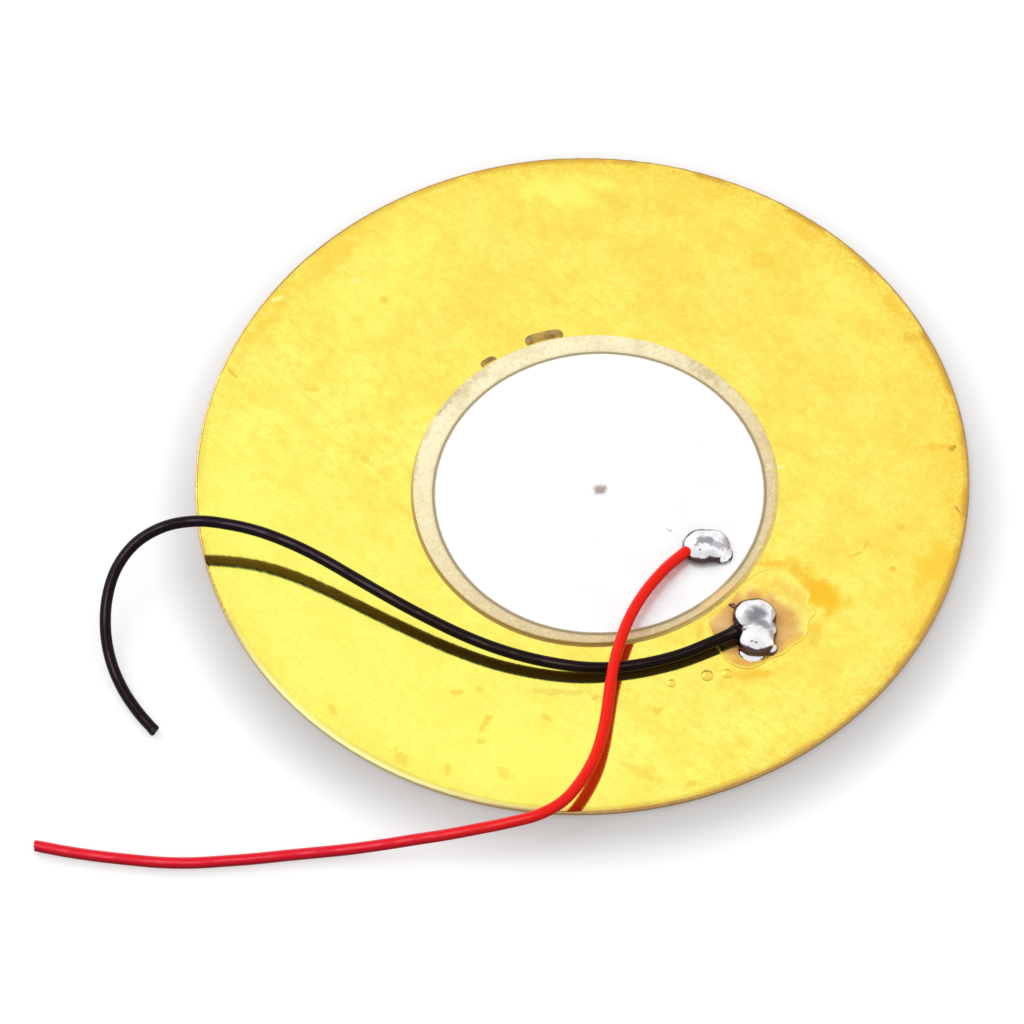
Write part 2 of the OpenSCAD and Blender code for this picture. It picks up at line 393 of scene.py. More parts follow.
class Wiring:
    """Short ways to add and join the nodes of one tree."""

    def __init__(self, tree):
        self.tree = tree

    def feed(self, socket, value):
        """Sets a socket to a value, or joins it to another node's output."""
        if isinstance(value, bpy.types.NodeSocket):
            self.tree.links.new(value, socket)
        else:
            socket.default_value = value

    def node(self, kind, inputs=(), **settings):
        """Adds a node, with its settings and its inputs by name or number."""
        node = self.tree.nodes.new("ShaderNode" + kind)
        for key, value in settings.items():
            setattr(node, key, value)
        for key, value in dict(inputs).items():
            self.feed(node.inputs[key], value)
        return node

    def math(self, operation, *values):
        """A sum of one to three values."""
        return self.node("Math", dict(enumerate(values)), operation=operation).outputs[0]

    def vector(self, operation, *values, out=0):
        """A sum of vectors. A scale's number is its fourth input."""
        node = self.node("VectorMath", operation=operation)
        for k, value in enumerate(values):
            self.feed(node.inputs[3 if operation == "SCALE" and k == 1 else k], value)
        return node.outputs[out]

    def rising(self, value, low, high, bottom=0.0, top=1.0):
        """A soft step from bottom to top while the value goes from low to high."""
        inputs = {0: value, 1: low, 2: high, 3: bottom, 4: top}
        return self.node("MapRange", inputs, interpolation_type="SMOOTHSTEP").outputs[0]

    def mix(self, amount, under, over, blend="MIX"):
        """One colour laid over another."""
        inputs = {0: amount, 6: under, 7: over}
        node = self.node("Mix", inputs, data_type="RGBA", blend_type=blend)
        return node.outputs[2]

    def cloud(self, place, size, detail=2.0, rough=0.5):
        """Soft noise with patches of a size in millimetres."""
        inputs = {"Vector": place, "Scale": 1 / size, "Detail": detail, "Roughness": rough}
        return self.node("TexNoise", inputs).outputs[0]

    def apart(self, vector):
        """A vector's three numbers."""
        return self.node("SeparateXYZ", {0: vector}).outputs

    def group(self, tree, **inputs):
        """Places a node group; an input's name has _ for a space."""
        node = self.node("Group", node_tree=tree)
        for key, value in inputs.items():
            self.feed(node.inputs[key.replace("_", " ")], value)
        return node.outputs


class Finish(Wiring):
    """A material with one principled shader."""

    def __init__(self, name, **shader):
        self.material = bpy.data.materials.new(name)
        self.material.use_nodes = True
        super().__init__(self.material.node_tree)
        self.shader = self.tree.nodes["Principled BSDF"]
        self.set(**shader)

    def set(self, **shader):
        """Sets or joins the shader's sockets; a socket's name has _ for a space."""
        for key, value in shader.items():
            self.feed(self.shader.inputs[key.replace("_", " ")], value)

    def place(self):
        """The place on the piece, in millimetres."""
        where = self.node("TexCoord").outputs["Object"]
        return self.vector("SCALE", where, 1 / MM)

    def bump(self, height, depth_mm, strength=1.0):
        """Relief of a depth in millimetres."""
        inputs = {"Height": height, "Distance": depth_mm * MM, "Strength": strength}
        self.set(Normal=self.node("Bump", inputs).outputs[0])


def group_tree(name, inputs, outputs):
    """A node group with these inputs and outputs; an input's value says its kind."""
    tree = bpy.data.node_groups.new(name, "ShaderNodeTree")
    for key, value in inputs.items():
        kind = "NodeSocketVector" if isinstance(value, tuple) else "NodeSocketFloat"
        socket = tree.interface.new_socket(name=key, in_out="INPUT", socket_type=kind)
        socket.default_value = value
    for key in outputs:
        tree.interface.new_socket(name=key, in_out="OUTPUT", socket_type="NodeSocketFloat")
    source = tree.nodes.new("NodeGroupInput").outputs
    target = tree.nodes.new("NodeGroupOutput").inputs
    return tree, Wiring(tree), source, target


def mark_group():
    """A ragged mark, long or round, at one place on a flat face."""
    tree, w, given, out = group_tree(
        "ragged mark",
        {
            "Place": (0, 0, 0), "Centre": (0, 0, 0), "Half Length": 1.0, "Half Width": 1.0,
            "Turn": 0.0, "Ragged": 0.3, "Softness": 0.3, "Noise Scale": 2.6,
        },
        ["Mask"],
    )
    level = w.vector("MULTIPLY", w.vector("SUBTRACT", given["Place"], given["Centre"]), (1, 1, 0))
    turned = w.node(
        "VectorRotate", {"Vector": level, "Angle": given["Turn"]}, rotation_type="Z_AXIS"
    ).outputs[0]
    x, y, _ = w.apart(turned)
    along = w.math("DIVIDE", x, given["Half Length"])
    across = w.math("DIVIDE", y, given["Half Width"])
    far = w.math("SQRT", w.math("ADD", w.math("MULTIPLY", along, along),
                                w.math("MULTIPLY", across, across)))
    noise = {"Vector": given["Place"], "Scale": given["Noise Scale"], "Detail": 1.5}
    grain = w.node("TexNoise", noise).outputs[0]
    stray = w.math("MULTIPLY", w.math("SUBTRACT", grain, 0.5), given["Ragged"])
    far = w.math("ADD", far, w.math("MULTIPLY", stray, 4.0))
    low = w.math("SUBTRACT", 1.0, given["Softness"])
    w.feed(out["Mask"], w.rising(far, low, 1.0, 1.0, 0.0))
    return tree


def ring_group():
    """How far a place is outside a circle, in millimetres, and a ragged line along the circle."""
    tree, w, given, out = group_tree(
        "ring line",
        {
            "Place": (0, 0, 0), "Centre": (0, 0, 0), "Radius": 1.0, "Line Width": 0.1,
            "Ragged": 0.1,
        },
        ["Outside", "Line"],
    )
    level = w.vector("MULTIPLY", w.vector("SUBTRACT", given["Place"], given["Centre"]), (1, 1, 0))
    outside = w.math("SUBTRACT", w.vector("LENGTH", level, out=1), given["Radius"])
    grain = w.node("TexNoise", {"Vector": given["Place"], "Scale": 2.5, "Detail": 4.0}).outputs[0]
    stray = w.math("MULTIPLY", w.math("SUBTRACT", grain, 0.5), given["Ragged"])
    near = w.math("ABSOLUTE", w.math("ADD", outside, stray))
    w.feed(out["Outside"], outside)
    half = w.math("MULTIPLY", given["Line Width"], 0.5)
    w.feed(out["Line"], w.rising(near, half, w.math("MULTIPLY", half, 2.0), 1.0, 0.0))
    return tree


def mottle_group():
    """Patches of two sizes with soft edges."""
    tree, w, given, out = group_tree(
        "mottle", {"Place": (0, 0, 0), "Size": 1.0, "Low": 0.4, "High": 0.6}, ["Patches", "Fine"]
    )
    scale = w.math("DIVIDE", 1.0, given["Size"])
    broad = w.node("TexNoise", {"Vector": given["Place"], "Scale": scale, "Detail": 3.0}).outputs[0]
    w.feed(out["Patches"], w.rising(broad, given["Low"], given["High"]))
    fine_scale = w.math("MULTIPLY", scale, 6.0)
    fine = w.node("TexNoise", {"Vector": given["Place"], "Scale": fine_scale, "Detail": 2.0})
    w.feed(out["Fine"], fine.outputs[0])
    return tree


def grain_group():
    """Fine drawn lines in one direction, as a roller or a brush leaves them."""
    tree, w, given, out = group_tree(
        "drawn grain",
        {"Place": (0, 0, 0), "Turn": 0.0, "Line Length": 3.0, "Line Width": 0.15},
        ["Grain"],
    )
    turned = w.node(
        "VectorRotate", {"Vector": given["Place"], "Angle": given["Turn"]}, rotation_type="Z_AXIS"
    ).outputs[0]
    x, y, _ = w.apart(turned)
    stretched = w.node(
        "CombineXYZ",
        {0: w.math("DIVIDE", x, given["Line Length"]), 1: w.math("DIVIDE", y, given["Line Width"])},
    ).outputs[0]
    grain = w.node("TexNoise", {"Vector": stretched, "Scale": 1.0, "Detail": 3.0}).outputs[0]
    w.feed(out["Grain"], grain)
    return tree


MARK = mark_group()
RING = ring_group()
MOTTLE = mottle_group()
GRAIN = grain_group()

# A wide mark fades from nearer its middle than a thin one
WIDE_MARK_MM = 0.4
WIDE_SOFTNESS = 0.8
THIN_SOFTNESS = 0.5
# The waves of a mark's ragged edge go with its half width, but for the thinnest marks
EDGE_WAVES = 1.6
THIN_EDGE_MM = 0.6


def marks(finish, place, colour, table):
    """Lays marks over a colour.

    Each is (x, y, half length, half width, turn in degrees, ragged, strength, colour).
    """
    for x, y, half_length, half_width, turn, ragged, strength, tint in table:
        mask = finish.group(
            MARK, Place=place, Centre=(x, y, 0), Half_Length=half_length, Half_Width=half_width,
            Turn=math.radians(-turn), Ragged=ragged,
            Softness=WIDE_SOFTNESS if half_width > WIDE_MARK_MM else THIN_SOFTNESS,
            Noise_Scale=EDGE_WAVES / max(half_width, THIN_EDGE_MM),
        )["Mask"]
        colour = finish.mix(finish.math("MULTIPLY", mask, strength), colour, tint)
    return colour


# ---------------------------------------------------------------- finishes

GOLD = srgb(254, 232, 98)
PAINTED_REFLECTION_GOLD = srgb(255, 255, 118)
DEEP_GOLD = srgb(254, 216, 82)
BRIGHT_GOLD = srgb(255, 255, 134)
ORANGE = srgb(250, 198, 62)
OLIVE = srgb(204, 150, 54)
SHEARED_SHADED_EDGE = srgb(190, 157, 95)
LIT_EDGE = srgb(232, 208, 152)
RIM_TARNISH = srgb(214, 160, 66)
RIM_LINE = srgb(190, 146, 88)
RIM_HIGHLIGHT = srgb(255, 255, 176)

BRASS_MARKS = [
    # the flux has crept and baked on around the black joint
    (15.3, -9.7, 2.1, 1.5, -35, 0.3, 0.95, srgb(252, 200, 44)),
    (14.4, -8.4, 2.6, 1.0, -48, 0.4, 0.9, srgb(251, 198, 52)),
    (12.2, -7.0, 1.7, 0.45, -5, 0.4, 0.7, ORANGE),
    (14.6, -12.4, 0.7, 1.8, -25, 0.5, 0.6, ORANGE),
    (10.6, -15.2, 1.9, 0.6, 5, 0.3, 0.75, ORANGE),
    (7.2, -12.0, 0.4, 1.6, -8, 0.4, 0.6, ORANGE),
    # tarnish that creeps in from the rim
    (22.3, -7.6, 2.9, 1.7, 45, 0.3, 0.75, srgb(253, 208, 62)),
    (19.6, -6.4, 1.6, 0.5, -10, 0.5, 0.5, srgb(253, 208, 62)),
    (21.8, 10.0, 1.5, 0.5, 0, 0.5, 0.6, srgb(240, 190, 70)),
    (22.7, 9.9, 0.5, 0.25, -50, 0.4, 0.7, srgb(204, 154, 60)),
    (20.8, 12.4, 2.0, 0.7, -52, 0.4, 0.5, ORANGE),
    (15.1, 18.5, 1.3, 0.6, -40, 0.5, 0.5, ORANGE),
    (-20.5, 12.4, 4.6, 1.3, 58, 0.5, 0.6, srgb(252, 210, 74)),
    (-16.2, 17.4, 4.4, 1.2, 43, 0.5, 0.55, srgb(252, 210, 74)),
    (24.0, 1.4, 0.5, 0.26, 35, 0.4, 0.85, OLIVE),
    (22.9, 1.5, 1.4, 0.35, 5, 0.5, 0.6, ORANGE),
    # painted reflection: paler places
    (-4.0, -20.8, 8.0, 3.6, 0, 0.5, 0.6, PAINTED_REFLECTION_GOLD),
    (-12.5, 15.5, 6.0, 4.0, 50, 0.5, 0.4, PAINTED_REFLECTION_GOLD),
    (-0.5, 22.3, 5.0, 1.8, 0, 0.5, 0.6, PAINTED_REFLECTION_GOLD),
    # nicks, scratches and spots
    (24.1, -3.3, 0.4, 0.12, -60, 0.2, 0.8, srgb(214, 158, 66)),
    (18.1, -5.8, 0.55, 0.12, 62, 0.1, 0.65, srgb(242, 192, 76)),
    (17.5, -6.45, 0.6, 0.12, 25, 0.1, 0.65, srgb(242, 192, 76)),
    (19.7, -7.6, 0.28, 0.28, 0, 0.3, 0.8, ORANGE),
    (20.4, -4.5, 0.35, 0.35, 0, 0.4, 0.5, ORANGE),
    (-22.6, 8.7, 0.6, 0.14, -50, 0.2, 0.8, srgb(246, 190, 60)),
    (-12.6, 14.1, 0.5, 0.3, -45, 0.4, 0.6, ORANGE),
    (-14.0, 1.8, 0.7, 0.35, -50, 0.4, 0.5, ORANGE),
    (-17.4, 7.3, 0.6, 0.3, -20, 0.5, 0.4, ORANGE),
    (-19.7, 14.4, 0.55, 0.25, 15, 0.3, 0.7, srgb(255, 255, 150)),
    (-14.5, 15.7, 0.4, 0.35, 0, 0.3, 0.6, srgb(255, 255, 150)),
    (12.9, 0.3, 0.3, 0.2, 0, 0.4, 0.8, srgb(255, 255, 170)),
    (0.5, -16.6, 0.35, 0.25, 30, 0.4, 0.5, srgb(236, 180, 80)),
    (-2.1, -16.1, 2.4, 0.3, -4, 0.4, 0.4, srgb(240, 196, 90)),
    (4.4, -17.7, 0.45, 0.3, 20, 0.4, 0.5, ORANGE),
    (-2.7, -18.0, 0.5, 0.25, -40, 0.4, 0.5, ORANGE),
    (3.2, -22.2, 1.8, 0.9, -35, 0.6, 0.4, ORANGE),
    (6.3, -23.1, 0.45, 0.3, 0, 0.4, 0.6, ORANGE),
    (2.1, 21.7, 2.2, 0.9, -40, 0.5, 0.35, ORANGE),
    (6.1, 20.5, 2.0, 1.0, -35, 0.5, 0.35, ORANGE),
    (12.4, 16.1, 1.6, 0.9, -50, 0.5, 0.4, ORANGE),
    (-16.2, -17.0, 0.6, 0.25, -50, 0.4, 0.5, ORANGE),
    (-8.3, -15.9, 0.5, 0.3, 0, 0.4, 0.5, ORANGE),
    (-6.9, -15.8, 0.4, 0.3, 0, 0.4, 0.4, ORANGE),
    (-6.5, -18.2, 0.9, 0.3, 62, 0.4, 0.55, ORANGE),
    (-6.9, -19.6, 0.35, 0.3, 0, 0.4, 0.5, ORANGE),
    (-9.0, -21.5, 0.4, 0.5, 0, 0.4, 0.6, ORANGE),
    (-11.9, -20.7, 1.0, 0.5, -50, 0.6, 0.5, ORANGE),
    (-5.4, -22.0, 0.9, 0.6, -30, 0.5, 0.4, ORANGE),
]
GRAIN_TURN = math.radians(46)
RIM_LINE_IN_MM = 0.06


def brass_finish():
    """Rolled and stamped sheet brass: drawn grain, soft orange tarnish, a dull sheared edge painted
    paler on the left, painted reflection that is paler towards the lower left and in broad places,
    and a painted highlight along the front left of the rim.
    """
    f = Finish("stamped brass", Metallic=0.98)
    place = f.place()
    x, y, _ = f.apart(place)
    broad = f.group(MOTTLE, Place=place, Size=9.0, Low=0.38, High=0.62)["Patches"]
    small = f.group(MOTTLE, Place=place, Size=1.4, Low=0.46, High=0.72)
    patch = f.cloud(place, 4.0, 2.0, 0.5)
    blotch = f.cloud(place, 0.5, 2.0, 0.55)
    speck = f.cloud(place, 0.15, 2.0, 0.6)
    grain = f.group(GRAIN, Place=place, Turn=GRAIN_TURN, Line_Length=2.6, Line_Width=0.2)["Grain"]
    smear = f.group(GRAIN, Place=place, Turn=GRAIN_TURN, Line_Length=1.7, Line_Width=0.6)["Grain"]
    # Painted reflection: paler towards the lower left, darker gold towards the upper right
    across = f.rising(f.math("ADD", x, y), -24.0, 24.0, 1.0, 0.0)
    across = f.math("MULTIPLY_ADD", broad, 0.4, f.math("MULTIPLY", across, 0.75))
    colour = f.mix(across, GOLD, PAINTED_REFLECTION_GOLD)
    colour = f.mix(f.rising(smear, 0.45, 0.75, 0.0, 0.5), colour, DEEP_GOLD)
    colour = f.mix(f.math("MULTIPLY", small["Patches"], 0.22), colour, ORANGE)
    colour = f.mix(f.rising(patch, 0.46, 0.64, 0.0, 0.38), colour, DEEP_GOLD)
    colour = f.mix(f.rising(patch, 0.36, 0.5, 0.2, 0.0), colour, BRIGHT_GOLD)
    colour = f.mix(f.rising(grain, 0.46, 0.75, 0.0, 0.34), colour, DEEP_GOLD)
    colour = f.mix(f.rising(blotch, 0.5, 0.68, 0.0, 0.38), colour, DEEP_GOLD)
    colour = f.mix(f.rising(blotch, 0.32, 0.48, 0.25, 0.0), colour, BRIGHT_GOLD)
    colour = f.mix(f.rising(speck, 0.48, 0.7, 0.0, 0.28), colour, DEEP_GOLD)
    colour = f.mix(f.rising(speck, 0.3, 0.5, 0.28, 0.0), colour, BRIGHT_GOLD)
    # Painted reflection, paler still at the lower left corner
    corner = f.rising(f.math("ADD", x, y), -27.0, -10.0, 0.6, 0.0)
    colour = f.mix(corner, colour, PAINTED_REFLECTION_GOLD)
    rim = f.group(
        RING, Place=place, Centre=(0, 0, 0), Radius=PLATE_R_MM - RIM_LINE_IN_MM,
        Line_Width=0.13, Ragged=0.06,
    )
    side = f.rising(f.math("ADD", x, f.math("MULTIPLY", y, 0.5)), -14.0, 22.0, 0.2, 0.7)
    creep = f.math("MULTIPLY", f.rising(rim["Outside"], -2.4, -0.1), side)
    spread = f.math("MULTIPLY", creep, f.rising(small["Fine"], 0.4, 0.6, 0.25, 1.0))
    colour = f.mix(spread, colour, ORANGE)
    stain = f.math("MULTIPLY", f.rising(rim["Outside"], -0.6, -0.15), f.rising(patch, 0.44, 0.52))
    colour = f.mix(f.math("MULTIPLY", stain, side), colour, OLIVE)
    colour = marks(f, place, colour, BRASS_MARKS)
    front = f.rising(f.math("SUBTRACT", x, f.math("MULTIPLY", y, 1.5)), 5.0, 26.0)
    band = f.math("MULTIPLY", f.rising(rim["Outside"], -0.5, -0.1), f.math("MULTIPLY", front, 0.55))
    colour = f.mix(band, colour, RIM_TARNISH)
    line = f.math("MULTIPLY", rim["Line"], f.rising(small["Fine"], 0.2, 0.6, 0.6, 1.0))
    colour = f.mix(line, colour, RIM_LINE)
    # Painted highlight along the front left of the rim
    left = f.rising(x, -15.0, 3.0, 1.0, 0.0)
    rim_highlight = f.math("MULTIPLY", left, f.rising(y, -16.0, -8.0, 1.0, 0.0))
    rim_highlight = f.math("MULTIPLY", rim_highlight, f.rising(rim["Outside"], -0.35, -0.1))
    colour = f.mix(rim_highlight, colour, RIM_HIGHLIGHT)
    # The sheared side is darker: partly its duller finish, partly a painted reflection of the shaded
    # table. It is painted paler on the left, as painted light.
    facing = f.apart(f.node("NewGeometry").outputs["Normal"])[2]
    sheared = f.rising(f.math("ABSOLUTE", facing), 0.35, 0.8, 0.9, 0.0)
    colour = f.mix(sheared, colour, f.mix(left, SHEARED_SHADED_EDGE, LIT_EDGE))
    rough = f.rising(grain, 0.3, 0.7, 0.07, 0.11)
    rough = f.math("ADD", rough, f.math("MULTIPLY", sheared, 0.25))
    f.set(Base_Color=colour, Roughness=rough)
    f.bump(grain, 0.004, 0.35)
    return f.material


def disc_of(node):
    """The centre, level with the plate's underside, and the radius of a round CAD node, in mm."""
    low, high = (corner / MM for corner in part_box(node))
    return ((low.x + high.x) / 2, (low.y + high.y) / 2, 0), (high.x - low.x) / 2


CERAMIC_CENTRE_MM, CERAMIC_R_MM = disc_of("ceramic_disc")
PRINT_CENTRE_MM, PRINT_R_MM = disc_of("upper_electrode")
# The dark line lies just outside the silver
DARK_LINE_OUT_MM = 0.11

CREAM = srgb(255, 244, 198)
DIM_CREAM = srgb(230, 206, 154)
SILVER_EDGE_DARK = srgb(152, 132, 100)
CERAMIC_MARKS = [
    (-9.2, 5.0, 0.35, 0.22, 60, 0.5, 0.6, srgb(166, 144, 106)),
    (-9.9, 3.6, 0.8, 0.3, 70, 0.5, 0.4, srgb(204, 184, 140)),
    (-8.4, 6.1, 1.5, 0.35, 52, 0.6, 0.7, srgb(200, 184, 142)),
    (-6.4, 7.9, 1.3, 0.35, 38, 0.6, 0.5, srgb(206, 188, 150)),
    (-10.7, 0.9, 0.9, 0.25, 84, 0.6, 0.5, srgb(206, 188, 146)),
    (-7.4, 6.8, 1.4, 0.6, 44, 0.5, 0.6, srgb(216, 194, 146)),
    (-9.0, 4.2, 2.0, 0.25, 56, 0.4, 0.6, srgb(255, 244, 206)),
    (-3.6, 9.4, 2.0, 0.5, 22, 0.6, 0.4, srgb(226, 206, 158)),
    (8.2, 7.6, 2.6, 0.6, 132, 0.6, 0.8, srgb(212, 190, 140)),
    (11.9, 2.2, 0.9, 0.2, 110, 0.6, 0.4, srgb(190, 176, 146)),
    (10.4, 6.2, 1.2, 0.25, 125, 0.6, 0.4, srgb(196, 182, 150)),
    (8.6, -9.5, 2.6, 0.7, 42, 0.3, 0.7, srgb(246, 206, 138)),
]


def ceramic_finish():
    """Fired ceramic, cream and mottled, with a dark line where the silver ends."""
    f = Finish("fired ceramic", Roughness=0.5)
    place = f.place()
    x, y, _ = f.apart(place)
    # Darker towards the lower right
    slope = f.math("ADD", f.math("MULTIPLY", x, 0.6), f.math("MULTIPLY", y, -0.8))
    colour = f.mix(f.rising(slope, -10.0, 10.0), CREAM, DIM_CREAM)
    patch = f.group(MOTTLE, Place=place, Size=1.8, Low=0.48, High=0.7)
    speck = f.cloud(place, 0.25, 3.0, 0.6)
    colour = f.mix(f.math("MULTIPLY", patch["Patches"], 0.35), colour, srgb(214, 196, 152))
    colour = f.mix(f.rising(speck, 0.48, 0.72, 0.0, 0.4), colour, srgb(204, 186, 142))
    colour = f.mix(f.rising(speck, 0.3, 0.48, 0.5, 0.0), colour, srgb(255, 248, 216))
    edge = f.group(
        RING, Place=place, Centre=PRINT_CENTRE_MM, Radius=PRINT_R_MM + DARK_LINE_OUT_MM,
        Line_Width=0.11, Ragged=0.08,
    )
    # A soft darker band and a dark line just outside the silver's edge
    colour = f.mix(f.rising(edge["Outside"], 0.0, 0.32, 0.4, 0.0), colour, srgb(186, 166, 124))
    colour = f.mix(f.math("MULTIPLY", edge["Line"], 0.85), colour, SILVER_EDGE_DARK)
    colour = marks(f, place, colour, CERAMIC_MARKS)
    f.set(Base_Color=colour)
    f.bump(patch["Fine"], 0.01, 0.5)
    return f.material


SILVER_MARKS = [
    # a worn dot of ink in the middle, and two specks by the red joint
    (1.15, -1.25, 0.62, 0.56, 20, 0.22, 0.85, srgb(150, 128, 116)),
    (5.4, -4.4, 0.12, 0.1, 0, 0.3, 0.8, srgb(214, 176, 120)),
    (5.58, -4.5, 0.12, 0.12, 0, 0.3, 0.8, srgb(190, 140, 100)),
]
SQUEEGEE_TURN = math.radians(8)


def silver_finish(name):
    """Printed and fired silver: almost white, matt, with faint squeegee lines and a ragged edge."""
    f = Finish(name, Metallic=0.5)
    place = f.place()
    grain = f.group(GRAIN, Place=place, Turn=SQUEEGEE_TURN, Line_Length=4.0, Line_Width=0.3)
    patch = f.group(MOTTLE, Place=place, Size=2.5, Low=0.4, High=0.65)
    colour = f.mix(patch["Patches"], WHITE, srgb(250, 250, 249))
    colour = f.mix(f.rising(grain["Grain"], 0.5, 0.8, 0.0, 0.3), colour, srgb(246, 246, 246))
    edge = f.group(
        RING, Place=place, Centre=PRINT_CENTRE_MM, Radius=PRINT_R_MM, Line_Width=0.05, Ragged=0.08
    )
    colour = f.mix(f.math("MULTIPLY", edge["Line"], 0.5), colour, srgb(186, 170, 146))
    colour = marks(f, place, colour, SILVER_MARKS)
    f.set(Base_Color=colour, Roughness=f.rising(grain["Grain"], 0.3, 0.7, 0.28, 0.4))
    f.bump(grain["Grain"], 0.006, 0.4)
    return f.material


SHADED_AMBER = srgb(182, 145, 64)
CLEAR_EPOXY = srgb(252, 228, 134)
ADHESIVE_MARKS = [
    # a brown line along the left side
    (-11.3, 0.4, 2.6, 0.3, 86, 0.3, 0.9, srgb(150, 106, 40)),
    (-11.0, 2.6, 0.3, 0.2, 70, 0.3, 0.8, srgb(160, 116, 44)),
]


def adhesive_finish():
    """Cured epoxy: clear over the brass, with painted shade that turns it honey-brown towards the
    left and the front, and olive in thick drops.
    """
    f = Finish("cured adhesive", Roughness=0.3)
    place = f.place()
    x, y, _ = f.apart(place)
    patch = f.group(MOTTLE, Place=place, Size=0.7, Low=0.4, High=0.65)
    # Painted shade: darker towards the left and the front
    shaded = f.math("ADD", f.math("MULTIPLY", x, 0.64), f.math("MULTIPLY", y, 0.77))
    colour = f.mix(f.rising(shaded, -9.5, -1.5), SHADED_AMBER, CLEAR_EPOXY)
    colour = f.mix(f.math("MULTIPLY", patch["Patches"], 0.25), colour, srgb(190, 150, 74))
    ring = f.group(
        RING, Place=place, Centre=CERAMIC_CENTRE_MM, Radius=CERAMIC_R_MM, Line_Width=0.1,
        Ragged=0.05,
    )
    thick = f.rising(ring["Outside"], 0.14, 0.24)
    drop = f.mix(patch["Patches"], srgb(180, 144, 56), srgb(118, 88, 38))
    colour = f.mix(thick, colour, drop)
    colour = marks(f, place, colour, ADHESIVE_MARKS)
    f.set(Base_Color=colour)
    f.bump(patch["Fine"], 0.01, 0.5)
    return f.material


BRIGHT_SOLDER = srgb(250, 250, 252)
DULL_SOLDER = srgb(170, 168, 176)
DARK_STEEP_REFLECTION = srgb(62, 28, 34)
REFLECTED_GREY = srgb(138, 136, 142)
MAUVE = srgb(150, 130, 140)
PIT = srgb(48, 40, 42)
PAINTED_GLINT = srgb(255, 255, 255)
SOLDER_REFLECTION_AND_SHADE = [
    # painted grey reflections on the tops, and painted mauve shade on the right sides
    (10.65, -11.35, 1.0, 0.9, 0, 0.2, 0.9, REFLECTED_GREY),
    (10.9, -11.4, 1.0, 0.9, 0, 0.2, 0.9, REFLECTED_GREY),
    (11.35, -12.1, 0.6, 0.32, -15, 0.3, 0.8, REFLECTED_GREY),
    (11.8, -12.7, 0.3, 0.7, 10, 0.3, 0.7, MAUVE),
    (11.95, -12.0, 0.3, 0.6, 0, 0.3, 0.7, REFLECTED_GREY),
    (11.95, -11.3, 0.22, 1.0, 0, 0.3, 0.6, MAUVE),
    (10.1, -12.3, 0.4, 0.35, 0, 0.3, 0.7, srgb(150, 146, 152)),
    (6.95, -5.95, 0.5, 0.4, 10, 0.3, 0.75, REFLECTED_GREY),
    (7.75, -5.8, 0.9, 0.35, -5, 0.3, 0.85, REFLECTED_GREY),
    (8.5, -6.1, 0.6, 0.35, -20, 0.4, 0.7, srgb(160, 156, 166)),
    (9.2, -5.9, 0.45, 0.9, 25, 0.3, 0.8, MAUVE),
]
SOLDER_PITS_AND_GLINTS = [
    # pits and dark spots
    (10.07, -12.38, 0.16, 0.13, 60, 0.1, 0.9, srgb(76, 70, 74)),
    (10.5, -13.3, 0.13, 0.06, 10, 0.3, 0.9, PIT),
    (10.78, -13.38, 0.15, 0.05, -15, 0.3, 0.9, PIT),
    (10.09, -12.9, 0.07, 0.06, 30, 0.1, 0.9, PIT),
    (7.43, -6.48, 0.08, 0.07, -40, 0.2, 0.9, PIT),
    # painted glints
    (11.75, -13.3, 0.26, 0.22, 0, 0.1, 1.0, PAINTED_GLINT),
    (10.4, -14.2, 0.9, 0.28, -5, 0.1, 0.9, PAINTED_GLINT),
    (9.0, -6.95, 0.35, 0.2, 10, 0.2, 1.0, PAINTED_GLINT),
]


def solder_finish():
    """Set solder: bright, with dull frosted patches and a few pits, and painted light: grey
    reflections, mauve shade, white glints and a dark reflection with shade on its steep sides.
    """
    f = Finish("set solder", Metallic=1.0)
    place = f.place()
    frost = f.group(MOTTLE, Place=place, Size=1.3, Low=0.47, High=0.6)
    uneven = f.cloud(place, 0.7, 2.0)
    colour = f.mix(f.math("MULTIPLY", frost["Patches"], 0.3), BRIGHT_SOLDER, DULL_SOLDER)
    colour = marks(f, place, colour, SOLDER_REFLECTION_AND_SHADE)
    # Painted dark reflection and shade on the steep sides
    right, back, up = f.apart(f.node("NewGeometry").outputs["Normal"])
    level = f.math("MULTIPLY_ADD", f.math("ABSOLUTE", back), -0.3, up)
    level = f.math("MULTIPLY_ADD", back, -0.1, level)
    level = f.math("MULTIPLY_ADD", right, 0.14, level)
    level = f.math("MULTIPLY_ADD", uneven, 0.4, level)
    steep = f.rising(level, 0.76, 0.88, 0.95, 0.0)
    colour = f.mix(steep, colour, DARK_STEEP_REFLECTION)
    colour = marks(f, place, colour, SOLDER_PITS_AND_GLINTS)
    f.set(Base_Color=colour, Roughness=f.rising(frost["Patches"], 0.0, 1.0, 0.12, 0.3))
    f.bump(frost["Fine"], 0.015, 0.25)
    return f.material


def strand_finish():
    """Tinned copper, dull grey and painted darker for the shade in the cut ends, with copper where
    the cut goes through the tin.
    """
    f = Finish("tinned strand", Metallic=1.0)
    place = f.place()
    patch = f.group(MOTTLE, Place=place, Size=0.12, Low=0.45, High=0.6)
    colour = f.mix(patch["Patches"], srgb(88, 76, 78), srgb(78, 54, 46))
    f.set(Base_Color=colour, Roughness=f.rising(patch["Fine"], 0.3, 0.7, 0.25, 0.45))
    return f.material


# Side of a lead where a soft highlight of the light above it is painted
HIGHLIGHT_SIDE = Vector((-0.12, -0.38, 0.92)).normalized()


